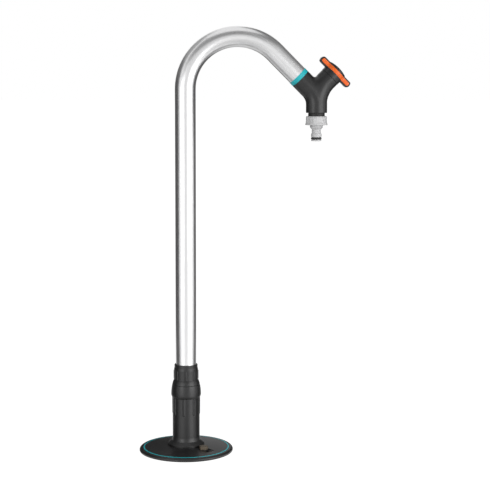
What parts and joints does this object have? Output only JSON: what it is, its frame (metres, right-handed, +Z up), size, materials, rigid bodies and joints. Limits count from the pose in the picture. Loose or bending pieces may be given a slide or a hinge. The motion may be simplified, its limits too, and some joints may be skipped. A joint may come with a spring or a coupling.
{
  "type": "free-standing garden tap",
  "caption": "Free-standing garden tap with a round foot plate, swivelling bent aluminium pole, wing-handle angle valve and push-fit hose connector.",
  "frame": {"origin": "centre of the inlet socket's mouth, on the column's axis at the level of the ground", "axes": "+Z up along the column, +X towards the spout's outlet, Y across the arch of the tube"},
  "size_m": [0.3354, 0.15, 0.6765],
  "materials": {
    "aluminium": "satin, clear anodised",
    "black_plastic": "fine matte texture",
    "teal_plastic": "semi-gloss",
    "orange_grip": "soft matte",
    "grey_plastic": "satin",
    "brass": "turned",
    "steel": "zinc plated",
    "rubber": "moulded",
    "bush_plastic": "natural acetal"
  },
  "bodies": {
    "base": {"base_plate": "black_plastic", "base_accent_ring": "teal_plastic", "column": "black_plastic", "column_head": "black_plastic", "column_screws": "steel", "anchor_washer": "steel", "anchor_screw": "steel", "inlet_socket": "brass", "inlet_washer": "rubber", "lower_bush": "bush_plastic", "upper_bush": "bush_plastic", "clamp_collet": "bush_plastic"},
    "collar": {"collar_nut": "black_plastic"},
    "pole": {"pole_tube": "aluminium", "pole_spigot": "brass", "spigot_seals": "rubber", "tube_foot_seal": "rubber", "spout_ring": "teal_plastic", "spout_adapter": "brass", "spout_tube_seal": "rubber", "spout_housing_seal": "rubber", "valve_housing": "black_plastic", "outlet_thread": "black_plastic", "hose_connector": "grey_plastic", "connector_washer": "rubber", "connector_seal": "rubber", "valve_bonnet": "brass", "bonnet_seal": "rubber", "gland_nut": "brass"},
    "handle": {"handle_body": "black_plastic", "handle_grips": "orange_grip", "handle_screw": "steel", "handle_cap": "black_plastic", "valve_spindle": "brass", "spindle_seal": "rubber"},
    "valve": {"valve_piston": "brass", "seat_washer": "rubber", "washer_screw": "brass"}
  },
  "joints": [
    {"name": "pole_swivel", "type": "hinge", "parent": "base", "child": "pole", "pos_m": [0, 0, 0.08], "axis": [0, 0, 1], "continuous": true},
    {"name": "collar_turn", "type": "hinge", "parent": "base", "child": "collar", "pos_m": [0, 0, 0.12], "axis": [0, 0, 1], "range_deg": [0, 90]},
    {"name": "handle_turn", "type": "hinge", "parent": "pole", "child": "handle", "pos_m": [0.2076, 0, 0.57699], "axis": [0.7071, 0, 0.7071], "range_deg": [0, 450]},
    {"name": "valve_lift", "type": "slide", "parent": "pole", "child": "valve", "axis": [0.7071, 0, 0.7071], "range_m": [0, 0.00501]}
  ],
  "couplings": [
    {"joint": "valve_lift", "follows": "handle_turn", "m_per_rad": 0.00063662}
  ]
}
